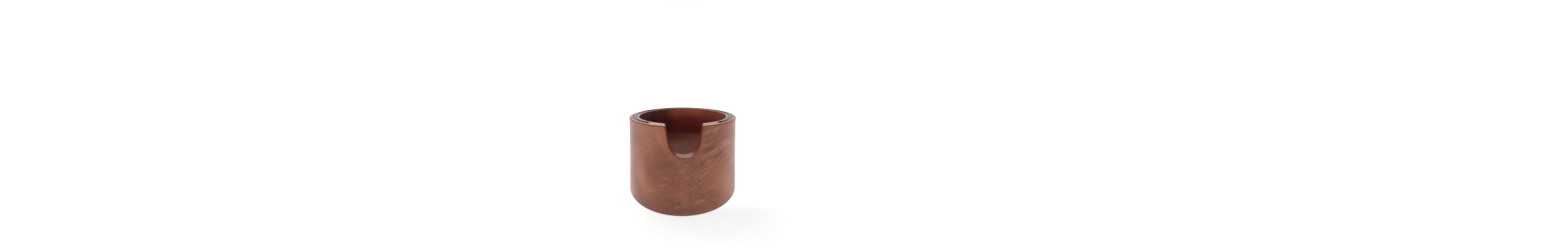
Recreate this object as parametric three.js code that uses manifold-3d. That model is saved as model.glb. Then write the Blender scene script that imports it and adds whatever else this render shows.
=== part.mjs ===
// A portafilter tamping stand: a round turned wooden cup with a U-shaped notch through its
// front wall, a soft cord pressed into a groove round its rim, and a non-slip pad under its foot.
// The round head of an espresso portafilter drops into the cup, its neck lies in the notch, and
// its metal lugs rest on the cord while the coffee is tamped.
//
// Millimetres, +Z up. The origin is at the middle of the pad's underside, on the surface that the
// stand rests on. The notch faces -Y.

import * as THREE from 'three';
import { mergeVertices } from 'three/addons/utils/BufferGeometryUtils.js';
import Module from 'manifold-3d';

const wasm = await Module();
wasm.setup();

// ---- Driving dimensions ----

const DEGREE = Math.PI / 180;

// Turned cup
const WAIST_RADIUS = 44; // outside of the wall's straight lower part
const RIM_RADIUS = 44.6; // the wall flares to this at the rim
const FLARE_HEIGHT = 33; // how much of the wall flares, down from the rim
const CUP_RADIUS = 37; // straight bore
const RIM_HEIGHT = 56.5; // resting surface to the wooden rim
const CUP_DEPTH = 29; // rim to the cup's floor
const CUP_FILLET = 6; // round corner between the cup's wall and its floor
const RIM_ROUND = 0.5; // softened edges of the rim
const FOOT_CHAMFER = 0.3;

// Notch for the portafilter's neck: flared straight sides, tangent to a round bottom
const NOTCH_DEPTH = 20;
const NOTCH_BOTTOM_RADIUS = 10.3;
const NOTCH_FLARE = 11 * DEGREE; // each side's lean away from upright
const NOTCH_CORNER_RADIUS = 1.6; // rounded corners where the sides meet the rim

// Cord in the rim, and the groove that holds it. Angles are from the middle of the notch.
const CORD_DIAMETER = 3;
const CORD_CIRCLE_RADIUS = 40.4;
const CORD_PROUD = 0.55; // how far the cord stands above the wooden rim
const CORD_END_ANGLE = 39 * DEGREE;
const GROOVE_END_ANGLE = 35.6 * DEGREE;
const CORD_GAP = 0.25; // clearance between the cord and the groove

// Non-slip pad under the foot
const PAD_RADIUS = 41.5;
const PAD_THICKNESS = 1.5;
const PAD_PROUD = 0.3; // how far the pad stands below the wood
const PAD_CHAMFER = 0.2;
const PAD_GAP = 0.3; // clearance between the pad and its recess

// Facets
const TURNED_FACETS = 96; // round the stand's axis
const CORD_FACETS = 12; // round the cord's section
const ARC_FACETS = 8; // half the number of facets in an arc of the notch
const FLARE_FACETS = 4; // up the flared part of the wall

// ---- Derived dimensions ----

const CUP_FLOOR = RIM_HEIGHT - CUP_DEPTH;
const CORD_RADIUS = CORD_DIAMETER / 2;
const CORD_CENTRE_HEIGHT = RIM_HEIGHT + CORD_PROUD - CORD_RADIUS;
const GROOVE_HALF_WIDTH = CORD_RADIUS + CORD_GAP;
const GROOVE_FLOOR = CORD_CENTRE_HEIGHT - GROOVE_HALF_WIDTH;
const RECESS_RADIUS = PAD_RADIUS + PAD_GAP;
const RECESS_CEILING = PAD_THICKNESS + PAD_GAP;

// Cutters run past the surface that they cut by this much
const OVERRUN = 2;

// ---- Helpers ----

// Points of an arc about (centreX, centreY), from one angle to another, both ends included.
function arcPoints(centreX, centreY, radius, fromAngle, toAngle, steps) {
  const points = [];
  for (let step = 0; step <= steps; step++) {
    const angle = fromAngle + ((toAngle - fromAngle) * step) / steps;
    const x = centreX + radius * Math.cos(angle);
    const y = centreY + radius * Math.sin(angle);
    points.push(new THREE.Vector2(x, y));
  }
  return points;
}

// Turns a profile of (radius, height) points about the Z axis.
function turned(profile) {
  const geometry = new THREE.LatheGeometry(profile, TURNED_FACETS);
  geometry.rotateX(Math.PI / 2);
  return geometry;
}

// Makes a closed geometry into a solid that can be joined and cut.
function toSolid(geometry) {
  const bare = geometry.clone();
  bare.deleteAttribute('normal');
  bare.deleteAttribute('uv');
  const merged = mergeVertices(bare);
  const vertProperties = new Float32Array(merged.attributes.position.array);
  const triVerts = new Uint32Array(merged.index.array);
  return new wasm.Manifold(new wasm.Mesh({ numProp: 3, vertProperties, triVerts }));
}

// Makes a solid back into a geometry.
function toGeometry(solid) {
  const { vertProperties, triVerts } = solid.getMesh();
  const geometry = new THREE.BufferGeometry();
  geometry.setAttribute('position', new THREE.BufferAttribute(vertProperties, 3));
  geometry.setIndex(new THREE.BufferAttribute(triVerts, 1));
  geometry.computeVertexNormals();
  return geometry;
}

// A wedge with its point on the Z axis, reaching halfAngle to each side of the notch's middle.
function frontWedge(halfAngle) {
  const reach = 2 * RIM_RADIUS;
  const x = reach * Math.sin(halfAngle);
  const y = -reach * Math.cos(halfAngle);
  const outline = new THREE.Shape();
  outline.moveTo(0, 0);
  outline.lineTo(-x, y);
  outline.lineTo(x, y);
  outline.closePath();
  const geometry = new THREE.ExtrudeGeometry(outline, {
    depth: RIM_HEIGHT + 2 * OVERRUN,
    bevelEnabled: false,
  });
  return toSolid(geometry);
}

// ---- Turned body ----

// The outside of the wall from where its flare starts to just below the rim's rounded edge.
function outerWall() {
  const points = [];
  for (let step = 0; step < FLARE_FACETS; step++) {
    const part = step / FLARE_FACETS;
    const radius = WAIST_RADIUS + (RIM_RADIUS - WAIST_RADIUS) * part * part;
    const height = RIM_HEIGHT - RIM_ROUND - FLARE_HEIGHT * (1 - part);
    points.push(new THREE.Vector2(radius, height));
  }
  return points;
}

// The cup before its notch and groove are cut: foot, outside, rim, bore, fillet and floor.
function cupBlank() {
  const rimOuter = arcPoints(
    RIM_RADIUS - RIM_ROUND, RIM_HEIGHT - RIM_ROUND, RIM_ROUND, 0, Math.PI / 2, 2);
  const rimInner = arcPoints(
    CUP_RADIUS + RIM_ROUND, RIM_HEIGHT - RIM_ROUND, RIM_ROUND, Math.PI / 2, Math.PI, 2);
  const fillet = arcPoints(
    CUP_RADIUS - CUP_FILLET, CUP_FLOOR + CUP_FILLET, CUP_FILLET, 0, -Math.PI / 2, 6);
  const profile = [
    new THREE.Vector2(0, RECESS_CEILING),
    new THREE.Vector2(RECESS_RADIUS, RECESS_CEILING),
    new THREE.Vector2(RECESS_RADIUS, PAD_PROUD),
    new THREE.Vector2(WAIST_RADIUS - FOOT_CHAMFER, PAD_PROUD),
    new THREE.Vector2(WAIST_RADIUS, PAD_PROUD + FOOT_CHAMFER),
    ...outerWall(),
    ...rimOuter,
    ...rimInner,
    ...fillet,
    new THREE.Vector2(0, CUP_FLOOR),
  ];
  return toSolid(turned(profile));
}

// The notch's outline in its front view: x across, y as height.
function notchOutline() {
  const centreHeight = RIM_HEIGHT - NOTCH_DEPTH + NOTCH_BOTTOM_RADIUS;
  const cornerHeight = RIM_HEIGHT - NOTCH_CORNER_RADIUS;
  const cornerX = (NOTCH_BOTTOM_RADIUS + NOTCH_CORNER_RADIUS
    + (cornerHeight - centreHeight) * Math.sin(NOTCH_FLARE)) / Math.cos(NOTCH_FLARE);
  const top = RIM_HEIGHT + OVERRUN;
  const outline = new THREE.Shape();
  outline.moveTo(-cornerX, top);
  outline.absarc(-cornerX, cornerHeight, NOTCH_CORNER_RADIUS, Math.PI / 2, NOTCH_FLARE, true);
  outline.absarc(
    0, centreHeight, NOTCH_BOTTOM_RADIUS, Math.PI + NOTCH_FLARE, 2 * Math.PI - NOTCH_FLARE, false);
  outline.absarc(
    cornerX, cornerHeight, NOTCH_CORNER_RADIUS, Math.PI - NOTCH_FLARE, Math.PI / 2, true);
  outline.lineTo(cornerX, top);
  outline.closePath();
  return outline;
}

// The notch runs straight through the front wall and ends in the open cup.
function notchCutter() {
  const innerEnd = CUP_RADIUS / 2;
  const geometry = new THREE.ExtrudeGeometry(notchOutline(), {
    depth: RIM_RADIUS + OVERRUN - innerEnd,
    bevelEnabled: false,
    curveSegments: ARC_FACETS,
  });
  geometry.rotateX(Math.PI / 2);
  geometry.translate(0, -innerEnd, 0);
  return toSolid(geometry);
}

// The round end of the groove, on one side (-1 or 1) of the notch.
function grooveEndCutter(side) {
  const height = RIM_HEIGHT + OVERRUN - GROOVE_FLOOR;
  const angle = GROOVE_END_ANGLE + GROOVE_HALF_WIDTH / CORD_CIRCLE_RADIUS;
  const geometry = new THREE.CylinderGeometry(
    GROOVE_HALF_WIDTH, GROOVE_HALF_WIDTH, height, 4 * ARC_FACETS);
  geometry.rotateX(Math.PI / 2);
  geometry.translate(
    side * CORD_CIRCLE_RADIUS * Math.sin(angle),
    -CORD_CIRCLE_RADIUS * Math.cos(angle),
    GROOVE_FLOOR + height / 2,
  );
  return toSolid(geometry);
}

// The groove: a square-sided ring, open across the front, with a round end each side.
function grooveCutter() {
  const inner = CORD_CIRCLE_RADIUS - GROOVE_HALF_WIDTH;
  const outer = CORD_CIRCLE_RADIUS + GROOVE_HALF_WIDTH;
  const top = RIM_HEIGHT + OVERRUN;
  const ring = toSolid(turned([
    new THREE.Vector2(inner, GROOVE_FLOOR),
    new THREE.Vector2(outer, GROOVE_FLOOR),
    new THREE.Vector2(outer, top),
    new THREE.Vector2(inner, top),
    new THREE.Vector2(inner, GROOVE_FLOOR),
  ]));
  const wedge = frontWedge(GROOVE_END_ANGLE + GROOVE_HALF_WIDTH / CORD_CIRCLE_RADIUS);
  return ring.subtract(wedge).add(grooveEndCutter(-1)).add(grooveEndCutter(1));
}

function turnedBody() {
  const solid = cupBlank().subtract(notchCutter()).subtract(grooveCutter());
  const wood = new THREE.MeshStandardMaterial({ color: 0x8f5c4b, roughness: 0.45, metalness: 0 });
  const mesh = new THREE.Mesh(toGeometry(solid), wood);
  mesh.name = 'turned_body';
  return mesh;
}

// ---- Rim cord ----

// A round cord bent round the rim, cut square at both ends.
function rimCord() {
  const section = arcPoints(
    CORD_CIRCLE_RADIUS, CORD_CENTRE_HEIGHT, CORD_RADIUS, 0, 2 * Math.PI, CORD_FACETS);
  section[CORD_FACETS].copy(section[0]);
  const solid = toSolid(turned(section)).subtract(frontWedge(CORD_END_ANGLE));
  const silicone = new THREE.MeshStandardMaterial({ color: 0x26282b, roughness: 0.5, metalness: 0 });
  const mesh = new THREE.Mesh(toGeometry(solid), silicone);
  mesh.name = 'rim_cord';
  return mesh;
}

// ---- Base pad ----

// A thin disc with a small chamfer on its lower edge.
function basePad() {
  const geometry = turned([
    new THREE.Vector2(0, 0),
    new THREE.Vector2(PAD_RADIUS - PAD_CHAMFER, 0),
    new THREE.Vector2(PAD_RADIUS, PAD_CHAMFER),
    new THREE.Vector2(PAD_RADIUS, PAD_THICKNESS),
    new THREE.Vector2(0, PAD_THICKNESS),
  ]);
  const rubber = new THREE.MeshStandardMaterial({ color: 0x2a2a2c, roughness: 0.8, metalness: 0 });
  const mesh = new THREE.Mesh(geometry, rubber);
  mesh.name = 'base_pad';
  return mesh;
}

// ---- Assembly ----

const stand = new THREE.Group();
stand.name = 'portafilter_tamping_stand';
stand.add(turnedBody());
stand.add(rimCord());
stand.add(basePad());

export default stand;
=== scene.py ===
"""Looks of the portafilter tamping stand: figured wood under satin lacquer, a silicone cord in
the rim and a rubber pad under the foot. Everything is in metres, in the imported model's frame:
+Z up, the notch faces -Y, and the stand rests on z = 0."""

import math

import bmesh
import bpy
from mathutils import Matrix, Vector


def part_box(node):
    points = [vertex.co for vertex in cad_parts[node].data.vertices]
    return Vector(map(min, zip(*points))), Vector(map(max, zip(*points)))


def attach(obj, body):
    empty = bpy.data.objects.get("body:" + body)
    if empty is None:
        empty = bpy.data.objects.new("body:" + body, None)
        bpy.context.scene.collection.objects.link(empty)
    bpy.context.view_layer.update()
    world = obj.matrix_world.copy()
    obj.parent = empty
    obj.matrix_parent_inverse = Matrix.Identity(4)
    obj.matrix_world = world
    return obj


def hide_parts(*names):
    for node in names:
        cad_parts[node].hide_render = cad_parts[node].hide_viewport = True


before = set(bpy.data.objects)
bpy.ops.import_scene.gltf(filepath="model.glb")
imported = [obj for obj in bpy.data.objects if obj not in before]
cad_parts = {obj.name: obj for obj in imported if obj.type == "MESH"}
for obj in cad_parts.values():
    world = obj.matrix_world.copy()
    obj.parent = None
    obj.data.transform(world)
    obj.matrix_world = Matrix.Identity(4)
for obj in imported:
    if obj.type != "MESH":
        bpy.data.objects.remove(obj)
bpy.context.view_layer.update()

# ---- Sizes ----

MM = 0.001
BODY_LOW, BODY_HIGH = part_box("turned_body")
CORD_LOW, CORD_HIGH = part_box("rim_cord")
PAD_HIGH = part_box("base_pad")[1]

RIM_RADIUS = BODY_HIGH.x
RIM_HEIGHT = BODY_HIGH.z
FOOT_HEIGHT = BODY_LOW.z
FLARE = 0.6 * MM
FLARE_HEIGHT = 33 * MM  # how much of the wall flares, down from the rim
WAIST_RADIUS = RIM_RADIUS - FLARE  # outside of the wall's straight lower part
WALL_THICKNESS = 7 * MM
CUP_RADIUS = WAIST_RADIUS - WALL_THICKNESS
CUP_DEPTH = 29 * MM
CUP_FLOOR = RIM_HEIGHT - CUP_DEPTH
CUP_FILLET = 6 * MM
FOOT_ROUND = 0.3 * MM
BELT_HEIGHT = CUP_FLOOR + CUP_FILLET  # everything below is plainly turned

NOTCH_DEPTH = 20 * MM
NOTCH_RADIUS = 10.3 * MM
NOTCH_FLARE = math.radians(11)
NOTCH_CORNER = 1.6 * MM
NOTCH_EDGE = 0.4 * MM  # rounding of the notch's front and back edges
RIM_EDGE = 0.5 * MM  # rounding of the rim's edges

CORD_RADIUS = (CORD_HIGH.z - CORD_LOW.z) / 2
CORD_CIRCLE = CORD_HIGH.x - CORD_RADIUS
CORD_CENTRE_HEIGHT = CORD_HIGH.z - CORD_RADIUS
CORD_END_ANGLE = math.radians(39)
CORD_END_ROUND = 0.25 * MM
SNUG = 0.02 * MM  # hair's breadth between the wood and what is set into it
GROOVE_HALF_WIDTH = CORD_RADIUS + SNUG
GROOVE_FLOOR = CORD_LOW.z - SNUG
GROOVE_TIP_ANGLE = math.radians(35.6)

PAD_RADIUS = PAD_HIGH.x
PAD_TOP = PAD_HIGH.z
PAD_ROUND = 0.3 * MM
RECESS_RADIUS = PAD_RADIUS + 0.1 * MM
RECESS_CEILING = PAD_TOP + SNUG

GUARD = 0.3 * MM  # a row of vertices this far from each rounded edge keeps it crisp
SHARP_ANGLE = math.radians(40)  # faces that meet at more than this keep a hard edge

# How many steps the curves and walls are drawn in
ROUND_STEPS = 4
RIM_EDGE_STEPS = 5
FILLET_STEPS = 12
WALL_STEPS = 8
CORNER_STEPS = 8
NOTCH_SIDE_STEPS = 14
NOTCH_BOTTOM_STEPS = 18
LAND_STEPS = 10
GROOVE_TIP_STEPS = 8
HALF_RIM_STEPS = 96
CORD_STEPS = 260
CORD_SIDES = 28
CORD_END_RINGS = (0.4, 0.7)  # shares of the cord's radius where its cut end has a ring
PAD_SIDES = 192
DISC_RINGS = (0.25, 0.5, 0.75)  # shares of a flat disc's radius where it has a ring of vertices
RECESS_RINGS = (0.33, 0.66, 1)  # the same for the recess, with its edge
GROOVE_POINTS = 5  # where a section meets the groove's two walls and its floor
SAME_POINT_DIGITS = 8  # points equal to this many decimals of a metre are one vertex

# Places of the three materials among the body's materials
WOOD_MATERIAL = 0
CUP_MATERIAL = 1
ARRIS_MATERIAL = 2
CORNER_PATCH = 0.4  # where on the notch's corner its dull patch with a painted dark reflection starts: 0 rim, 1 notch


# ---- Small helpers ----


def steps(first, last, count):
    """count + 1 evenly spaced numbers from first to last."""
    return [first + (last - first) * i / count for i in range(count + 1)]


def smoothstep(x):
    """0 below 0, 1 above 1, and smooth between."""
    x = min(1.0, max(0.0, x))
    return x * x * (3 - 2 * x)


def on_cylinder(radius, angle, height):
    """A point at that angle from the notch's middle, towards +X."""
    return Vector((radius * math.sin(angle), -radius * math.cos(angle), height))


def outer_radius(height):
    """Radius of the outside of the wall, which flares towards the rim."""
    part = max(0.0, 1 - (RIM_HEIGHT - height) / FLARE_HEIGHT)
    return WAIST_RADIUS + (RIM_RADIUS - WAIST_RADIUS) * part * part


def bore_radius(height):
    """Radius of the cup's wall, which is the same at every height. The height is taken so that
    either wall's radius can be asked for in the same way."""
    return CUP_RADIUS


def mesh_object(name, vertices, faces):
    """A smooth-shaded object of these vertices and faces, with faces pointing outwards."""
    mesh = bpy.data.meshes.new(name)
    mesh.from_pydata(vertices, [], faces)
    work = bmesh.new()
    work.from_mesh(mesh)
    bmesh.ops.recalc_face_normals(work, faces=work.faces)
    work.to_mesh(mesh)
    work.free()
    mesh.shade_smooth()
    mesh.set_sharp_from_angle(angle=SHARP_ANGLE)
    made = bpy.data.objects.new(name, mesh)
    bpy.context.scene.collection.objects.link(made)
    return made


def closed_skin(name, rings, first_middle, last_middle):
    """An object of rings of points, each joined to the next, and closed by a point at each end."""
    sides = len(rings[0])
    vertices = [point for ring in rings for point in ring] + [first_middle, last_middle]
    faces = []
    for low in range(0, (len(rings) - 1) * sides, sides):
        high = low + sides
        for side in range(sides):
            beside = (side + 1) % sides
            faces.append((low + side, low + beside, high + beside, high + side))
    last_ring = (len(rings) - 1) * sides
    for ring, middle in ((0, last_ring + sides), (last_ring, last_ring + sides + 1)):
        for side in range(sides):
            faces.append((ring + side, ring + (side + 1) % sides, middle))
    return mesh_object(name, vertices, faces)


# ---- Turned body ----


class Station:
    """One place along the body's top edge, where a section of the wall is taken."""

    def __init__(self, outer_angle, inner_angle, height, away=(0.0, -1.0), share=0.0):
        self.outer_angle = outer_angle
        self.inner_angle = inner_angle
        self.height = height
        self.away = away  # direction into the wood, along the wall: sideways and up
        self.share = share  # 0 on the rim, 1 in the notch
        self.edge = RIM_EDGE + (NOTCH_EDGE - RIM_EDGE) * share
        self.groove = None  # half-width of the cord's groove, where there is one


def notch_point(x, height, away, share):
    """A station where the notch, cut straight from front to back, crosses both walls."""
    outer_angle = math.asin(x / outer_radius(height))
    inner_angle = math.asin(x / bore_radius(height))
    return Station(outer_angle, inner_angle, height, away, share)


def mirrored(station):
    """The same place on the other side of the notch's middle."""
    away = (-station.away[0], station.away[1])
    other = Station(
        -station.outer_angle, -station.inner_angle, station.height, away, station.share)
    other.groove = station.groove
    return other


def left_half_of_notch():
    """From the notch's left corner down its side and round its bottom to its middle."""
    centre_height = RIM_HEIGHT - NOTCH_DEPTH + NOTCH_RADIUS
    corner_height = RIM_HEIGHT - NOTCH_CORNER
    lean = (corner_height - centre_height) * math.sin(NOTCH_FLARE)
    corner_x = (NOTCH_RADIUS + NOTCH_CORNER + lean) / math.cos(NOTCH_FLARE)
    left = []
    for angle in steps(math.pi / 2, NOTCH_FLARE, CORNER_STEPS):
        x = -corner_x + NOTCH_CORNER * math.cos(angle)
        height = corner_height + NOTCH_CORNER * math.sin(angle)
        share = (math.pi / 2 - angle) / (math.pi / 2 - NOTCH_FLARE)
        left.append(notch_point(x, height, (-math.cos(angle), -math.sin(angle)), share))
    top_x = -corner_x + NOTCH_CORNER * math.cos(NOTCH_FLARE)
    top_height = corner_height + NOTCH_CORNER * math.sin(NOTCH_FLARE)
    foot_x = -NOTCH_RADIUS * math.cos(NOTCH_FLARE)
    foot_height = centre_height - NOTCH_RADIUS * math.sin(NOTCH_FLARE)
    side = (-math.cos(NOTCH_FLARE), -math.sin(NOTCH_FLARE))
    for part in steps(0, 1, NOTCH_SIDE_STEPS)[1:-1]:
        x = top_x + (foot_x - top_x) * part
        height = top_height + (foot_height - top_height) * part
        left.append(notch_point(x, height, side, 1.0))
    for angle in steps(math.pi + NOTCH_FLARE, 1.5 * math.pi, NOTCH_BOTTOM_STEPS):
        away = (math.cos(angle), math.sin(angle))
        x = NOTCH_RADIUS * away[0]
        height = centre_height + NOTCH_RADIUS * away[1]
        left.append(notch_point(x, height, away, 1.0))
    return left


def notch_stations():
    """From the notch's left corner down its side, round its bottom and up to the right corner."""
    left = left_half_of_notch()
    return left + [mirrored(station) for station in reversed(left[:-1])]


def rim_stations(corner):
    """Round the rim from the notch's right corner to its left one, both left out."""
    spread = (corner.inner_angle - corner.outer_angle) / 2
    start = (corner.inner_angle + corner.outer_angle) / 2
    cap = GROOVE_HALF_WIDTH / CORD_CIRCLE  # angle that the groove's round end takes up
    tip = GROOVE_TIP_ANGLE
    square_after = 0.9 * (tip - start)  # past this much turn the sections point straight inwards
    half = []
    for angle in steps(start, tip, LAND_STEPS)[1:-1]:
        offset = spread * (1 - smoothstep((angle - start) / square_after))
        half.append(Station(angle - offset, angle + offset, RIM_HEIGHT))
    for turn in steps(0, math.pi / 2, GROOVE_TIP_STEPS):
        angle = tip + cap * (1 - math.cos(turn))
        station = Station(angle, angle, RIM_HEIGHT)
        station.groove = GROOVE_HALF_WIDTH * math.sin(turn)
        half.append(station)
    for angle in steps(tip + cap, math.pi, HALF_RIM_STEPS)[1:]:
        station = Station(angle, angle, RIM_HEIGHT)
        station.groove = GROOVE_HALF_WIDTH
        half.append(station)
    return half + [mirrored(station) for station in reversed(half[:-1])]


def foot_rows(station):
    """Points from the recess's middle, under the foot and round its edge."""
    angle = station.outer_angle
    points = []
    for part in RECESS_RINGS:
        points.append(on_cylinder(RECESS_RADIUS * part, angle, RECESS_CEILING))
    points.append(on_cylinder(RECESS_RADIUS, angle, FOOT_HEIGHT))
    points.append(on_cylinder(WAIST_RADIUS - FOOT_ROUND - GUARD, angle, FOOT_HEIGHT))
    for turn in steps(0, math.pi / 2, ROUND_STEPS):
        radius = WAIST_RADIUS - FOOT_ROUND * (1 - math.sin(turn))
        height = FOOT_HEIGHT + FOOT_ROUND * (1 - math.cos(turn))
        points.append(on_cylinder(radius, angle, height))
    return points


def belt_rows(station):
    """Points up the outside from the foot's edge to the belt."""
    heights = steps(FOOT_HEIGHT + FOOT_ROUND + GUARD, BELT_HEIGHT, WALL_STEPS)
    return [on_cylinder(outer_radius(height), station.outer_angle, height) for height in heights]


def below_edge(station, radius_at, angle, drop):
    """The point of a wall that is that far into the wood from the wall's top edge."""
    away_x, away_z = station.away
    height = station.height + drop * away_z
    turn = drop * away_x / (radius_at(height) * math.cos(angle))
    return on_cylinder(radius_at(height), angle + turn, height)


def rounded_edge(station, radius_at, angle, inward):
    """The rounded edge between a wall and the top surface, from the wall up. inward points along
    the top surface, away from the wall."""
    points = []
    for turn in steps(0, math.pi / 2, RIM_EDGE_STEPS):
        drop = station.edge * (1 - math.sin(turn))
        inset = station.edge * (1 - math.cos(turn))
        points.append(below_edge(station, radius_at, angle, drop) + inset * inward)
    return points


def wall_rows(station, radius_at, angle):
    """Rows up a wall from the belt to just short of its rounded edge."""
    end = below_edge(station, radius_at, angle, station.edge + GUARD)
    end_angle = math.atan2(end.x, -end.y)
    turn = (end_angle - angle + math.pi) % (2 * math.pi) - math.pi
    rows = []
    for part in steps(0, 1, WALL_STEPS)[1:]:
        height = BELT_HEIGHT + (end.z - BELT_HEIGHT) * part
        rows.append(on_cylinder(radius_at(height), angle + turn * part, height))
    return rows


def groove_columns(station, across):
    """Where the groove crosses the top surface: its two walls and its floor. Away from the
    groove all of these are one point."""
    if station.groove is None:
        share = (RIM_RADIUS - CORD_CIRCLE) / (RIM_RADIUS - CUP_RADIUS)
        return [across(share)] * GROOVE_POINTS
    outer = CORD_CIRCLE + station.groove
    inner = CORD_CIRCLE - station.groove
    places = [
        (outer, RIM_HEIGHT),
        (outer, GROOVE_FLOOR),
        (CORD_CIRCLE, GROOVE_FLOOR),
        (inner, GROOVE_FLOOR),
        (inner, RIM_HEIGHT),
    ]
    return [on_cylinder(radius, station.outer_angle, height) for radius, height in places]


def inner_wall_and_floor(station):
    """Points from the belt down the cup's wall, round the fillet and over the floor."""
    angle = station.inner_angle
    points = []
    for turn in steps(0, math.pi / 2, FILLET_STEPS):
        radius = CUP_RADIUS - CUP_FILLET * (1 - math.cos(turn))
        height = BELT_HEIGHT - CUP_FILLET * math.sin(turn)
        points.append(on_cylinder(radius, angle, height))
    flat = CUP_RADIUS - CUP_FILLET
    for part in reversed(DISC_RINGS):
        points.append(on_cylinder(flat * part, angle, CUP_FLOOR))
    return points


def wall_section(station):
    """The body's section at a station, as pairs of a point and the zone that it belongs to."""
    outer_edge = on_cylinder(outer_radius(station.height), station.outer_angle, station.height)
    inner_edge = on_cylinder(bore_radius(station.height), station.inner_angle, station.height)
    inward = (inner_edge - outer_edge).normalized()
    width = (inner_edge - outer_edge).length

    def across(part):
        return outer_edge + inward * (width * part)

    stretches = [
        ("foot", foot_rows(station)),
        ("plain", belt_rows(station)),
        ("plain", wall_rows(station, outer_radius, station.outer_angle)),
        ("arris", rounded_edge(station, outer_radius, station.outer_angle, inward)),
        ("top", [outer_edge + inward * (station.edge + GUARD)]),
        ("groove", groove_columns(station, across)),
        ("top", [inner_edge - inward * (station.edge + GUARD)]),
        ("edge", reversed(rounded_edge(station, bore_radius, station.inner_angle, -inward))),
        ("inside", reversed(wall_rows(station, bore_radius, station.inner_angle))),
        ("inside", inner_wall_and_floor(station)),
    ]
    return [(zone, point) for zone, points in stretches for point in points]


WEIGHT_NAMES = ("edge_polish_and_shade", "notch_face", "top_face", "groove_depth", "foot", "corner")


def zone_weights(zone, station, point):
    """How much a vertex belongs to each kind of place: the rounded edges, the notch's cut face,
    the top, the groove's floor, the foot and the notch's rounded corners."""
    on_top = zone in ("top", "arris", "edge", "groove")
    return {
        "edge_polish_and_shade": float(zone in ("arris", "edge")),
        "notch_face": station.share if on_top else 0.0,
        "top_face": float(on_top),
        "groove_depth": float(station.groove is not None and point.z == GROOVE_FLOOR),
        "foot": float(zone == "foot"),
        "corner": float(on_top and CORNER_PATCH < station.share < 1),
    }


def face_material(zone, next_zone, station, next_station):
    """The material of the face between two rows and two stations."""
    if zone == next_zone == "inside":
        return CUP_MATERIAL
    shares = (station.share, next_station.share)
    if zone == next_zone == "arris" and max(shares) == 0:
        return ARRIS_MATERIAL
    on_corner = CORNER_PATCH < max(shares) and sum(shares) < 2
    if on_corner and zone in ("arris", "top", "groove"):
        return ARRIS_MATERIAL
    return WOOD_MATERIAL


def body_grid(stations):
    """The body's vertices, what each weighs, and the vertices of each station's section. The
    first two vertices are the middle of the recess and the middle of the cup's floor."""
    vertices = [Vector((0, 0, RECESS_CEILING)), Vector((0, 0, CUP_FLOOR))]
    weights = {name: [0.0, 0.0] for name in WEIGHT_NAMES}
    weights["foot"] = [1.0, 0.0]
    columns = []
    for station in stations:
        column = []
        seen = {}
        for zone, point in wall_section(station):
            key = tuple(round(value, SAME_POINT_DIGITS) for value in point)
            if key not in seen:
                seen[key] = len(vertices)
                vertices.append(point)
                for name, weight in zone_weights(zone, station, point).items():
                    weights[name].append(weight)
            column.append(seen[key])
        columns.append(column)
    return vertices, weights, columns


def body_faces(stations, columns):
    """The faces between neighbouring sections, and the material of each."""
    zones = [zone for zone, _ in wall_section(stations[0])]
    faces = []
    face_materials = []
    for here, (station, column) in enumerate(zip(stations, columns)):
        there = (here + 1) % len(stations)
        next_station, beside = stations[there], columns[there]
        both_grooved = None not in (station.groove, next_station.groove)
        faces += [(0, column[0], beside[0]), (1, column[-1], beside[-1])]
        face_materials += [WOOD_MATERIAL, CUP_MATERIAL]
        for row, (zone, next_zone) in enumerate(zip(zones, zones[1:])):
            if zone == next_zone == "groove" and not both_grooved:
                continue
            corners = [column[row], beside[row], beside[row + 1], column[row + 1]]
            corners = list(dict.fromkeys(corners))
            if len(corners) > 2:
                faces.append(corners)
                face_materials.append(face_material(zone, next_zone, station, next_station))
    return faces, face_materials


def make_body():
    """The turned body, as sections of its wall joined in a ring."""
    notch = notch_stations()
    stations = notch + rim_stations(notch[-1])
    vertices, weights, columns = body_grid(stations)
    faces, face_materials = body_faces(stations, columns)
    body = mesh_object("wood_body", vertices, faces)
    body.data.polygons.foreach_set("material_index", face_materials)
    for name, values in weights.items():
        body.data.attributes.new(name, "FLOAT", "POINT").data.foreach_set("value", values)
    return body


# ---- Rim cord ----


def cord_section(angle, radius):
    """A ring of points round the cord, at an angle from the notch's middle."""
    ring = []
    for turn in steps(0, 2 * math.pi, CORD_SIDES)[:-1]:
        height = CORD_CENTRE_HEIGHT + radius * math.sin(turn)
        ring.append(on_cylinder(CORD_CIRCLE + radius * math.cos(turn), angle, height))
    return ring


def make_cord():
    """A cord bent round the rim, cut square at both ends with a slightly softened cut."""
    softened = CORD_END_ROUND / CORD_CIRCLE
    start = CORD_END_ANGLE
    end = 2 * math.pi - start
    near = [(start, CORD_RADIUS * part) for part in CORD_END_RINGS]
    for turn in steps(0, math.pi / 2, ROUND_STEPS):
        radius = CORD_RADIUS - CORD_END_ROUND * (1 - math.sin(turn))
        near.append((start + softened * (1 - math.cos(turn)), radius))
    far = [(2 * math.pi - angle, radius) for angle, radius in reversed(near)]
    between = steps(start + softened, end - softened, CORD_STEPS)[1:-1]
    sections = near + [(angle, CORD_RADIUS) for angle in between] + far
    rings = [cord_section(angle, radius) for angle, radius in sections]
    middles = [on_cylinder(CORD_CIRCLE, angle, CORD_CENTRE_HEIGHT) for angle in (start, end)]
    return closed_skin("silicone_cord", rings, *middles)


# ---- Base pad ----


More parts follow.
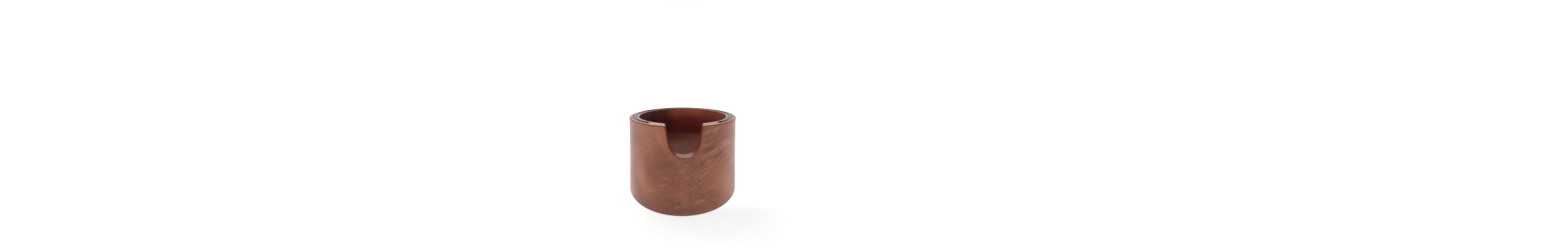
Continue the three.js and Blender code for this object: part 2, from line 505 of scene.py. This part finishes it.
def make_pad():
    """A thin disc with rounded edges."""
    profile = [(PAD_RADIUS * part, 0.0) for part in DISC_RINGS]
    for turn in steps(0, math.pi / 2, ROUND_STEPS):
        radius = PAD_RADIUS - PAD_ROUND * (1 - math.sin(turn))
        profile.append((radius, PAD_ROUND * (1 - math.cos(turn))))
    for turn in steps(0, math.pi / 2, ROUND_STEPS):
        radius = PAD_RADIUS - PAD_ROUND * (1 - math.cos(turn))
        profile.append((radius, PAD_TOP - PAD_ROUND * (1 - math.sin(turn))))
    profile += [(PAD_RADIUS * part, PAD_TOP) for part in reversed(DISC_RINGS)]
    turns = steps(0, 2 * math.pi, PAD_SIDES)[:-1]
    rings = [[on_cylinder(radius, turn, height) for turn in turns] for radius, height in profile]
    return closed_skin("foot_pad", rings, Vector((0, 0, 0)), Vector((0, 0, PAD_TOP)))


# ---- Material helpers ----


def node(tree, kind, inputs=None, **settings):
    """Adds a node, sets its properties, and sets or links its input sockets by name."""
    made = tree.nodes.new(kind)
    for name, value in settings.items():
        setattr(made, name, value)
    for name, value in (inputs or {}).items():
        feed(tree, made.inputs[name], value)
    return made


def feed(tree, socket, value):
    """Links a socket to another's output, or sets its number, vector or colour."""
    if isinstance(value, bpy.types.NodeSocket):
        tree.links.new(value, socket)
    else:
        socket.default_value = value


def new_material(name):
    """An empty material: its tree, its shader and its output are ready to be linked."""
    material = bpy.data.materials.new(name)
    material.use_nodes = True
    tree = material.node_tree
    tree.nodes.clear()
    shader = node(tree, "ShaderNodeBsdfPrincipled")
    node(tree, "ShaderNodeOutputMaterial", {"Surface": shader.outputs["BSDF"]})
    return material, tree, shader


def object_position(tree):
    """Where a point is in the object, in metres."""
    return node(tree, "ShaderNodeTexCoord").outputs["Object"]


def attribute(tree, name):
    """A number that the mesh carries at its vertices."""
    return node(tree, "ShaderNodeAttribute", attribute_name=name).outputs["Fac"]


def stretched(tree, vector, tilt, lengths, centre=(0, 0, 0)):
    """Coordinates from a centre, turned about Y by tilt and divided by the length of a feature
    along each axis."""
    inputs = {"Vector": vector, "Location": centre, "Rotation": (0, tilt, 0), "Scale": lengths}
    return node(tree, "ShaderNodeMapping", inputs, vector_type="TEXTURE").outputs["Vector"]


def noise(tree, vector, detail, roughness=0.5, output="Fac"):
    """Smooth noise between about 0 and 1, one feature to each unit of the coordinates."""
    inputs = {"Vector": vector, "Scale": 1.0, "Detail": detail, "Roughness": roughness}
    return node(tree, "ShaderNodeTexNoise", inputs).outputs[output]


def remap(tree, value, low, high, to_low=0.0, to_high=1.0):
    """Moves the range low to high, smoothly clamped, to the range to_low to to_high."""
    inputs = {
        "Value": value,
        "From Min": low,
        "From Max": high,
        "To Min": to_low,
        "To Max": to_high,
    }
    made = node(tree, "ShaderNodeMapRange", inputs, interpolation_type="SMOOTHSTEP")
    return made.outputs["Result"]


def math_node(tree, operation, first, second=0.0):
    """The result of an operation on two numbers."""
    made = node(tree, "ShaderNodeMath", operation=operation)
    feed(tree, made.inputs[0], first)
    feed(tree, made.inputs[1], second)
    return made.outputs[0]


def vector_node(tree, operation, first, second=None, scale=None):
    """The result of an operation on vectors: a vector, or a number for LENGTH."""
    made = node(tree, "ShaderNodeVectorMath", operation=operation)
    feed(tree, made.inputs[0], first)
    if second is not None:
        feed(tree, made.inputs[1], second)
    if scale is not None:
        feed(tree, made.inputs["Scale"], scale)
    return made.outputs["Value" if operation == "LENGTH" else "Vector"]


def times(tree, first, second):
    """The product of two numbers."""
    return math_node(tree, "MULTIPLY", first, second)


# Places of the colour sockets on a mix node, whose sockets share their names
MIX_FACTOR = 0
MIX_FIRST = 6
MIX_SECOND = 7
MIX_RESULT = 2


def mixed(tree, factor, first, second, blend="MIX"):
    """Two colours mixed by a factor."""
    made = node(tree, "ShaderNodeMix", data_type="RGBA", blend_type=blend)
    for socket, value in ((MIX_FACTOR, factor), (MIX_FIRST, first), (MIX_SECOND, second)):
        feed(tree, made.inputs[socket], value)
    return made.outputs[MIX_RESULT]


def darkened(tree, factor, base, tint):
    """The base colour, multiplied by the tint as far as the factor says."""
    return mixed(tree, factor, base, mixed(tree, 1.0, base, tint, "MULTIPLY"))


def colour(red, green, blue):
    """A colour from 0 to 255 sRGB values, as linear numbers."""
    def linear(value):
        share = value / 255
        return share / 12.92 if share <= 0.04045 else ((share + 0.055) / 1.055) ** 2.4
    return (linear(red), linear(green), linear(blue), 1.0)


# ---- Wood ----

FIBRE_TILT = math.radians(46)  # the wood's fibres run down to the right on the front
CURL_TILT = math.radians(-22)  # its curly bands run gently up to the right

# Colours of the wood on the outside
DEEP_WOOD = colour(130, 67, 41)
PALE_WOOD = colour(153, 90, 59)
LIGHT_CURL = colour(178, 112, 68)
DARK_CURL = colour(104, 52, 36)
BRIGHT_MARK = colour(176, 112, 74)
DARK_MARK = colour(80, 35, 24)
CUT_WOOD_DEEP = colour(80, 24, 8)
CUT_WOOD_PALE = colour(146, 66, 14)
# painted shade: the rounded edges darker and deeper orange, as where they catch no sheen
EDGE_PAINTED_SHADE = colour(116, 46, 12)
# painted shade along the foot's rounded edge, in the gap over the table
FOOT_PAINTED_SHADE = colour(28, 18, 16)
# a painted dark reflection on the notch's top corners
CORNER_PAINTED_REFLECTION = colour(52, 50, 56)
# painted shade in the cord's groove
GROOVE_PAINTED_SHADE = colour(6, 6, 7)
FIBRE_TINT = (0.45, 0.37, 0.36, 1)
MOTTLE_TINT = (0.5, 0.42, 0.5, 1)
PORE_TINT = (0.17, 0.14, 0.16, 1)

# Colours of the wood in the cup
# Paler near the rim and darker deeper down: painted light and shade over a deeper stain
CUP_RIM_LEFT = colour(178, 98, 58)
CUP_RIM_RIGHT = colour(120, 52, 30)
CUP_STAIN_AND_SHADE = colour(123, 36, 38)
# dark upright stripes on the cup's left
CUP_LEFT_DEEP = colour(28, 2, 20)
CUP_LEFT_RED = colour(78, 20, 19)
CUP_FLOOR_MIDDLE = colour(110, 63, 49)
CUP_FLOOR_OUTER = colour(100, 54, 45)
# painted light on the fillet, against the shade where the floor meets the wall
CUP_FILLET_PAINTED_LIGHT = colour(144, 78, 63)

# How much smoother the lacquer is there than on the wall
POLISH = {"top_face": 0.06, "notch_face": 0.12, "edge_polish_and_shade": 0.14}

# Marks of the figure round the outside: millimetres round the wall from the notch's middle,
# millimetres below the rim, length and width in millimetres, degrees that the mark rises to the
# right, and strength.
DARK_MARKS = [
    # soft clouds between the bright bands
    (-10.5, 25.0, 26.0, 7.0, 8, 0.40),
    (17.8, 15.6, 19.0, 3.6, 14, 0.74),
    (23.5, 20.6, 20.0, 4.6, 16, 0.64),
    (-7.0, 47.5, 20.0, 8.0, -8, 0.30),
    (2.0, 53.0, 46.0, 9.0, 0, 0.52),
    (4.3, 32.0, 4.0, 2.6, 60, 0.45),
    (9.6, 52.5, 4.6, 2.6, 30, 0.45),
    # short flecks, left of the notch
    (-20.6, 6.8, 5.0, 0.9, -46, 0.55),
    (-19.4, 6.0, 4.0, 0.6, -50, 0.40),
    (-20.2, 9.8, 3.0, 1.5, -30, 0.50),
    (-14.2, 9.8, 3.2, 0.6, -33, 0.55),
    (-26.5, 16.2, 2.9, 1.0, -44, 0.50),
    (-31.0, 24.0, 4.6, 1.0, -60, 0.35),
    (-27.5, 26.0, 9.0, 0.5, -30, 0.35),
    (-6.6, 24.6, 4.6, 1.2, -66, 0.55),
    (-5.0, 26.4, 3.6, 1.1, -35, 0.50),
    (-1.8, 33.3, 3.2, 0.6, -35, 0.55),
    # long open grain, right of the notch
    (0.4, 28.2, 3.6, 0.5, -50, 0.60),
    (3.9, 37.4, 8.0, 0.5, -42, 0.75),
    (12.6, 44.4, 9.0, 0.5, -44, 0.70),
    (20.0, 51.0, 11.0, 0.6, -46, 0.80),
    (9.4, 33.6, 6.0, 0.5, -48, 0.50),
    (12.4, 36.4, 6.5, 0.5, -48, 0.60),
    (20.8, 34.4, 12.0, 0.5, -46, 0.55),
    (25.2, 48.2, 5.6, 0.8, -50, 0.60),
    (32.4, 29.6, 9.0, 0.5, -64, 0.45),
    (17.6, 9.4, 5.0, 0.5, -45, 0.50),
    (34.4, 16.2, 7.0, 0.5, -56, 0.40),
]
# Bright bands and broad pale patches
BRIGHT_MARKS = [
    (17.4, 22.6, 12.0, 2.6, 20, 0.75),
    (14.4, 30.4, 7.0, 1.5, 18, 0.55),
    (33.6, 24.6, 7.5, 1.6, 24, 0.55),
    (0.6, 24.2, 5.2, 0.9, 6, 0.60),
    (33.0, 42.0, 26.0, 15.0, -45, 0.55),
    (-32.0, 34.0, 34.0, 14.0, -80, 0.30),
    (10.5, 47.4, 10.0, 1.8, 0, 0.45),
    (-2.0, 42.2, 4.4, 1.5, 26, 0.50),
    (-5.0, 51.2, 6.4, 1.6, 22, 0.50),
    (-14.2, 38.2, 8.0, 2.4, 8, 0.45),
    (-12.0, 33.0, 9.0, 1.2, -12, 0.30),
    (-25.5, 43.4, 15.0, 4.5, 10, 0.40),
    (-15.5, 8.0, 13.0, 5.0, -65, 0.45),
]
MARK_CORE = 0.1  # share of a mark's half-length that is at full strength
MARK_REACH = 1.15  # where the mark has faded out


def place_on_wall(tree, place):
    """Coordinates on the outside of the wall: round it from the notch's middle, and height."""
    parts = node(tree, "ShaderNodeSeparateXYZ", {"Vector": place}).outputs
    front = times(tree, parts["Y"], -1.0)
    angle = math_node(tree, "ARCTAN2", parts["X"], front)
    round_wall = times(tree, angle, WAIST_RADIUS)
    return node(tree, "ShaderNodeCombineXYZ", {"X": round_wall, "Z": parts["Z"]}).outputs[0]


def marks(tree, wall_place, listed):
    """How strongly the listed marks cover a point of the wall."""
    total = 0.0
    for across, below, length, width, rise, strength in listed:
        centre = (across * MM, 0, RIM_HEIGHT - below * MM)
        lengths = (length / 2 * MM, 1, width / 2 * MM)
        inside = stretched(tree, wall_place, math.radians(-rise), lengths, centre)
        distance = vector_node(tree, "LENGTH", inside)
        here = remap(tree, distance, MARK_CORE, MARK_REACH, strength, 0.0)
        total = math_node(tree, "MAXIMUM", total, here)
    return total


def swayed(tree, place, size, amount):
    """Coordinates bent by a slow ripple, so that straight features wander."""
    ripple = noise(tree, stretched(tree, place, 0, (size,) * 3), 1.0, output="Color")
    centred = vector_node(tree, "SUBTRACT", ripple, (0.5, 0.5, 0.5))
    shift = vector_node(tree, "SCALE", centred, scale=amount)
    return vector_node(tree, "ADD", place, shift)


def wood_figure(tree, place):
    """The figure's layers, each between 0 and 1: broad tone, curly bands, fine fibre, open pores
    and mottle."""
    grain = swayed(tree, place, 26 * MM, 9 * MM)
    fine = swayed(tree, place, 5 * MM, 0.8 * MM)
    fibre_lengths = (13 * MM, 0.42 * MM, 0.42 * MM)
    pore_lengths = (10 * MM, 0.27 * MM, 0.27 * MM)
    return {
        "tone": noise(tree, stretched(tree, grain, FIBRE_TILT, (40 * MM, 22 * MM, 22 * MM)), 2.0),
        "curl": noise(tree, stretched(tree, grain, CURL_TILT, (15 * MM, 22 * MM, 3.4 * MM)), 1.2),
        "fibre": noise(tree, stretched(tree, fine, FIBRE_TILT, fibre_lengths), 3.0, 0.6),
        "pore": noise(tree, stretched(tree, fine, FIBRE_TILT, pore_lengths), 1.0),
        "mottle": noise(tree, stretched(tree, place, 0, (0.7 * MM,) * 3), 3.0, 0.65),
    }


def bare_wood(tree, figure, curly):
    """Broad tone with curly bands over it, as strong as curly says."""
    base = mixed(tree, remap(tree, figure["tone"], 0.34, 0.66), DEEP_WOOD, PALE_WOOD)
    light = times(tree, remap(tree, figure["curl"], 0.52, 0.72, 0.0, 0.6), curly)
    base = mixed(tree, light, base, LIGHT_CURL)
    dark = times(tree, remap(tree, figure["curl"], 0.48, 0.3, 0.0, 0.55), curly)
    return mixed(tree, dark, base, DARK_CURL)


def with_grain(tree, base, figure, strength):
    """The base colour with fine dark fibre, mottle and open pores."""
    fibre = times(tree, remap(tree, figure["fibre"], 0.4, 0.68, 0.0, 0.6), strength)
    base = darkened(tree, fibre, base, FIBRE_TINT)
    mottle = remap(tree, figure["mottle"], 0.42, 0.7, 0.0, 0.38)
    base = darkened(tree, mottle, base, MOTTLE_TINT)
    pores = times(tree, remap(tree, figure["pore"], 0.56, 0.76, 0.0, 0.75), strength)
    return darkened(tree, pores, base, PORE_TINT)


def wall_colour(tree, place, figure):
    """The outside's stained figure and its marks. The curly bands and the grain are strongest on
    the right of the notch and at the back, and the bands fade down the front."""
    wall_place = place_on_wall(tree, swayed(tree, place, 4 * MM, 1.4 * MM))
    parts = node(tree, "ShaderNodeSeparateXYZ", {"Vector": place}).outputs
    across = parts["X"]
    upper = remap(tree, parts["Z"], RIM_HEIGHT - 40 * MM, RIM_HEIGHT - 26 * MM, 0.4, 1.0)
    back = remap(tree, parts["Y"], -6 * MM, 12 * MM, 0.0, 0.8)
    curly = times(tree, remap(tree, across, -18 * MM, 8 * MM), upper)
    curly = math_node(tree, "MAXIMUM", curly, back)
    grain = math_node(tree, "MAXIMUM", remap(tree, across, -22 * MM, 12 * MM, 0.45, 1.0), back)
    base = bare_wood(tree, figure, curly)
    base = mixed(tree, marks(tree, wall_place, BRIGHT_MARKS), base, BRIGHT_MARK)
    base = mixed(tree, marks(tree, wall_place, DARK_MARKS), base, DARK_MARK)
    return with_grain(tree, base, figure, grain)


def cut_wood_colour(tree, place):
    """The notch's cut face, with thin streaks that run down its sides."""
    streak_sizes = (10 * MM, 0.6 * MM, 10 * MM)
    streaks = noise(tree, stretched(tree, place, 0, streak_sizes), 2.0)
    return mixed(tree, remap(tree, streaks, 0.4, 0.6), CUT_WOOD_DEEP, CUT_WOOD_PALE)


def wood_colour(tree, place, figure):
    """The wall's colour, with the cut face, painted shade on the rounded edges and the foot's
    edge, a painted dark reflection on the notch's corners and painted shade in the groove over it."""
    base = wall_colour(tree, place, figure)
    cut_wood = cut_wood_colour(tree, place)
    base = mixed(tree, times(tree, attribute(tree, "notch_face"), 0.85), base, cut_wood)
    # painted shade along the rounded edges
    base = mixed(tree, times(tree, attribute(tree, "edge_polish_and_shade"), 0.9), base, EDGE_PAINTED_SHADE)
    # painted shade along the foot's edge
    base = mixed(tree, times(tree, attribute(tree, "foot"), 0.9), base, FOOT_PAINTED_SHADE)
    across = node(tree, "ShaderNodeSeparateXYZ", {"Vector": place}).outputs["X"]
    # a painted dark reflection on the notch's corners, stronger on the right
    painted_corner_reflection = times(tree, attribute(tree, "corner"), remap(tree, across, -MM, MM, 0.45, 0.8))
    base = mixed(tree, painted_corner_reflection, base, CORNER_PAINTED_REFLECTION)
    # painted shade in the groove, black from just below its top edges
    groove = remap(tree, attribute(tree, "groove_depth"), 0.0, 0.01)
    return mixed(tree, groove, base, GROOVE_PAINTED_SHADE)


def cup_wall_colour(tree, place, figure):
    """The cup's wall: paler at the rim and darker half-way down, as painted light and shade over
    a deeper stain, and dark upright stripes on the left."""
    parts = node(tree, "ShaderNodeSeparateXYZ", {"Vector": place}).outputs
    right = remap(tree, parts["X"], 14 * MM, 32 * MM)
    light = mixed(tree, right, CUP_RIM_LEFT, CUP_RIM_RIGHT)
    light = mixed(tree, 0.35, light, bare_wood(tree, figure, 0.6))
    # painted shade, darker deeper down the cup, over a deeper stain
    depth = remap(tree, parts["Z"], RIM_HEIGHT - MM, RIM_HEIGHT - 13 * MM, 0.0, 0.95)
    stained = mixed(tree, depth, light, CUP_STAIN_AND_SHADE)

    stripe_sizes = (2.2 * MM, 2.2 * MM, 60 * MM)
    stripes = noise(tree, stretched(tree, place, 0, stripe_sizes), 2.0, 0.6)
    left_stripes = mixed(tree, remap(tree, stripes, 0.35, 0.6), CUP_LEFT_DEEP, CUP_LEFT_RED)
    left = remap(tree, parts["X"], -4 * MM, -22 * MM, 0.0, 0.92)
    return mixed(tree, left, stained, left_stripes)


def cup_colour(tree, place, figure):
    """The cup's colour: its wall, and a paler floor with painted light on the fillet."""
    height = node(tree, "ShaderNodeSeparateXYZ", {"Vector": place}).outputs["Z"]
    along = vector_node(tree, "LENGTH", vector_node(tree, "MULTIPLY", place, (1, 1, 0)))
    outer = remap(tree, along, 20 * MM, 32 * MM)
    floor = mixed(tree, outer, CUP_FLOOR_MIDDLE, CUP_FLOOR_OUTER)
    # painted light low on the fillet, near the wall
    foot_of_fillet = remap(tree, height, CUP_FLOOR + 4 * MM, CUP_FLOOR + 0.8 * MM)
    fillet = times(tree, foot_of_fillet, remap(tree, along, 23 * MM, 30 * MM))
    floor = mixed(tree, fillet, floor, CUP_FILLET_PAINTED_LIGHT)
    low = remap(tree, height, CUP_FLOOR + 7 * MM, CUP_FLOOR + 0.6 * MM)
    wall = cup_wall_colour(tree, place, figure)
    return with_grain(tree, mixed(tree, low, wall, floor), figure, 0.5)


def wood_bump(tree, figure, strength):
    """The relief of the fibres and the open pores."""
    fibre_height = times(tree, figure["fibre"], 0.5)
    pore_height = remap(tree, figure["pore"], 0.6, 0.76, 1.0, 0.0)
    height = math_node(tree, "ADD", fibre_height, pore_height)
    relief = {"Height": height, "Strength": strength, "Distance": 0.03 * MM}
    return node(tree, "ShaderNodeBump", relief).outputs["Normal"]


def wood_material():
    """Stained figured wood under a satin lacquer, smoother on the top, the cut and the edges."""
    material, tree, shader = new_material("stained_wood")
    place = object_position(tree)
    figure = wood_figure(tree, place)
    feed(tree, shader.inputs["Base Color"], wood_colour(tree, place, figure))
    open_pores = remap(tree, figure["pore"], 0.6, 0.74, 0.0, 0.2)
    uneven = remap(tree, figure["mottle"], 0.3, 0.7, 0.33, 0.43)
    roughness = math_node(tree, "ADD", uneven, open_pores)
    for name, amount in POLISH.items():
        smoother = times(tree, attribute(tree, name), amount)
        roughness = math_node(tree, "SUBTRACT", roughness, smoother)
    feed(tree, shader.inputs["Roughness"], roughness)
    feed(tree, shader.inputs["Normal"], wood_bump(tree, figure, 0.5))
    return material


def arris_material():
    """The rim's outer edge and the notch's corners, where the lacquer is worn thin and dull, over
    painted shade on the edge and a painted dark reflection on the corners.
    """
    material, tree, shader = new_material("rubbed_edge")
    place = object_position(tree)
    figure = wood_figure(tree, place)
    feed(tree, shader.inputs["Base Color"], wood_colour(tree, place, figure))
    shader.inputs["Roughness"].default_value = 0.4
    shader.inputs["Specular IOR Level"].default_value = 0.08
    return material


def cup_material():
    """The same wood inside the cup, with a thin dull coat of the stain."""
    material, tree, shader = new_material("stained_cup")
    place = object_position(tree)
    figure = wood_figure(tree, place)
    feed(tree, shader.inputs["Base Color"], cup_colour(tree, place, figure))
    feed(tree, shader.inputs["Roughness"], remap(tree, figure["mottle"], 0.3, 0.7, 0.5, 0.62))
    shader.inputs["Specular IOR Level"].default_value = 0.22
    feed(tree, shader.inputs["Normal"], wood_bump(tree, figure, 0.4))
    return material


# ---- Silicone and rubber ----

SILICONE = colour(5, 20, 28)
DUSTY_SILICONE = colour(18, 36, 44)
RUBBER = colour(36, 36, 38)
DUSTY_RUBBER = colour(58, 57, 58)


def cord_material():
    """Black silicone, smooth and slightly glossy, with a little dust in its skin."""
    material, tree, shader = new_material("black_silicone")
    place = object_position(tree)
    dust = noise(tree, stretched(tree, place, 0, (0.5 * MM,) * 3), 3.0, 0.6)
    skin = mixed(tree, remap(tree, dust, 0.5, 0.75, 0.0, 0.5), SILICONE, DUSTY_SILICONE)
    feed(tree, shader.inputs["Base Color"], skin)
    feed(tree, shader.inputs["Roughness"], remap(tree, dust, 0.3, 0.7, 0.23, 0.3))
    shader.inputs["Specular IOR Level"].default_value = 0.15
    bump = node(tree, "ShaderNodeBump", {"Height": dust, "Strength": 0.3, "Distance": 0.02 * MM})
    feed(tree, shader.inputs["Normal"], bump.outputs["Normal"])
    return material


def pad_material():
    """Dark rubber with a fine stipple."""
    material, tree, shader = new_material("dark_rubber")
    place = object_position(tree)
    cells = {"Vector": stretched(tree, place, 0, (0.9 * MM,) * 3), "Scale": 1.0}
    stipple = node(tree, "ShaderNodeTexVoronoi", cells).outputs["Distance"]
    dust = noise(tree, stretched(tree, place, 0, (6 * MM,) * 3), 4.0, 0.6)
    rubber = mixed(tree, remap(tree, dust, 0.45, 0.75), RUBBER, DUSTY_RUBBER)
    feed(tree, shader.inputs["Base Color"], rubber)
    feed(tree, shader.inputs["Roughness"], remap(tree, dust, 0.3, 0.7, 0.7, 0.85))
    bumps = remap(tree, stipple, 0.1, 0.5, 1.0, 0.0)
    bump = node(tree, "ShaderNodeBump", {"Height": bumps, "Strength": 0.6, "Distance": 0.1 * MM})
    feed(tree, shader.inputs["Normal"], bump.outputs["Normal"])
    return material


# ---- Pieces ----


def add_piece(piece, materials, cad_node):
    """Dresses a piece and puts it in the place of its CAD node."""
    for material in materials:
        piece.data.materials.append(material)
    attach(piece, "root")
    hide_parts(cad_node)


# ---- Stage ----

CAMERA_PLACE = Vector((-3.2 * MM, -153.9 * MM, RIM_HEIGHT + 26.7 * MM))
CAMERA_TURN = 0.0317  # radians clockwise from straight along +Y
CAMERA_ROLL = -0.001
SENSOR = 36.0  # millimetres, as is the lens
LENS = 4.037
SHIFT_X = 0.0633
SHIFT_Y = -0.0256
NEAREST = 0.01
FARTHEST = 100

TABLE_HALF = 6.0
TABLE_GLOW = 0.76  # before the stand, where the weaker glow is painted shade
FAR_GLOW = 0.38  # added behind the table's front strip, and far to either side
STRIP_BACK = (-0.042, -0.022)  # from where to where along Y that strip fades into the rest
STRIP_SIDES = (0.15, 0.35)  # and the same to either side

# Brightness of the studio by direction: the axis, the range along it, and the factor at its ends
STUDIO_RAMPS = [
    ("Z", 0.08, 0.75, 1.45, 0.22),  # bright at eye level, dim overhead
    ("Y", 0.2, 0.9, 1.0, 1.25),  # brighter behind the stand
    ("Y", -1.0, -0.3, 0.86, 1.0),  # dimmer in front of it
    ("X", -1.0, -0.2, 2.1, 1.0),  # bright on the left
    ("X", 0.2, 1.0, 1.0, 2.2),  # and on the right
]
SIDE_DIP = 0.36  # how much dimmer it is low down, to either side of straight ahead

KEY_PLACE = Vector((-0.22, 0.26, 0.66))
KEY_SIZE = 0.45
KEY_POWER = 3.4
KEY_AIM = Vector((0, 0, 0.03))


def make_camera():
    """A level camera close in front of the stand, a little above its rim."""
    data = bpy.data.cameras.new("camera")
    data.sensor_width = SENSOR
    data.lens = LENS
    data.shift_x = SHIFT_X
    data.shift_y = SHIFT_Y
    data.clip_start = NEAREST
    data.clip_end = FARTHEST
    camera = bpy.data.objects.new("camera", data)
    camera.location = CAMERA_PLACE
    camera.rotation_euler = (math.pi / 2, CAMERA_ROLL, -CAMERA_TURN)
    bpy.context.scene.collection.objects.link(camera)
    bpy.context.scene.camera = camera


def make_floor():
    """A wide pale table that glows as a lit acrylic one does, least of all before the stand, where
    the weaker glow is painted shade.
    """
    half = TABLE_HALF
    corners = [(-half, -half, 0), (half, -half, 0), (half, half, 0), (-half, half, 0)]
    mesh = bpy.data.meshes.new("table")
    mesh.from_pydata(corners, [], [(0, 1, 2, 3)])
    table = bpy.data.objects.new("table", mesh)
    bpy.context.scene.collection.objects.link(table)
    material, tree, shader = new_material("pale_table")
    shader.inputs["Base Color"].default_value = (0.3, 0.3, 0.3, 1)
    shader.inputs["Roughness"].default_value = 0.9
    shader.inputs["Specular IOR Level"].default_value = 0.0
    shader.inputs["Emission Color"].default_value = (1, 1, 1, 1)
    parts = node(tree, "ShaderNodeSeparateXYZ", {"Vector": object_position(tree)}).outputs
    beside = math_node(tree, "ABSOLUTE", parts["X"])
    behind = remap(tree, parts["Y"], *STRIP_BACK)
    away = math_node(tree, "MAXIMUM", behind, remap(tree, beside, *STRIP_SIDES))
    glow = math_node(tree, "ADD", TABLE_GLOW, times(tree, away, FAR_GLOW))
    feed(tree, shader.inputs["Emission Strength"], glow)
    mesh.materials.append(material)


def make_world():
    """A white studio, brightest at eye level and at its sides, and dim overhead."""
    world = bpy.data.worlds.new("studio")
    world.use_nodes = True
    bpy.context.scene.world = world
    tree = world.node_tree
    tree.nodes.clear()
    direction = node(tree, "ShaderNodeTexCoord").outputs["Generated"]
    parts = node(tree, "ShaderNodeSeparateXYZ", {"Vector": direction}).outputs
    strength = 1.0
    for axis, low, high, at_low, at_high in STUDIO_RAMPS:
        ramp = remap(tree, parts[axis], low, high, at_low, at_high)
        strength = times(tree, strength, ramp)
    beside = remap(tree, math_node(tree, "ABSOLUTE", parts["X"]), 0.17, 0.28)
    low_down = remap(tree, parts["Z"], 0.3, 0.22)
    dimmer = times(tree, times(tree, beside, low_down), SIDE_DIP)
    strength = times(tree, strength, math_node(tree, "SUBTRACT", 1.0, dimmer))
    background = node(tree, "ShaderNodeBackground", {"Color": (1, 1, 1, 1)})
    tree.links.new(strength, background.inputs["Strength"])
    node(tree, "ShaderNodeOutputWorld", {"Surface": background.outputs[0]})


def make_key_light():
    """A square softbox, high behind the stand on the left, that faces it."""
    data = bpy.data.lights.new("key", "AREA")
    data.size = KEY_SIZE
    data.energy = KEY_POWER
    light = bpy.data.objects.new("key", data)
    light.location = KEY_PLACE
    aim = KEY_AIM - KEY_PLACE
    light.rotation_euler = aim.to_track_quat("-Z", "Y").to_euler()
    bpy.context.scene.collection.objects.link(light)


make_camera()
make_world()
make_floor()
make_key_light()
bpy.context.scene.view_settings.view_transform = "Standard"

body_materials = [wood_material(), cup_material(), arris_material()]
add_piece(make_body(), body_materials, "turned_body")
add_piece(make_cord(), [cord_material()], "rim_cord")
add_piece(make_pad(), [pad_material()], "base_pad")
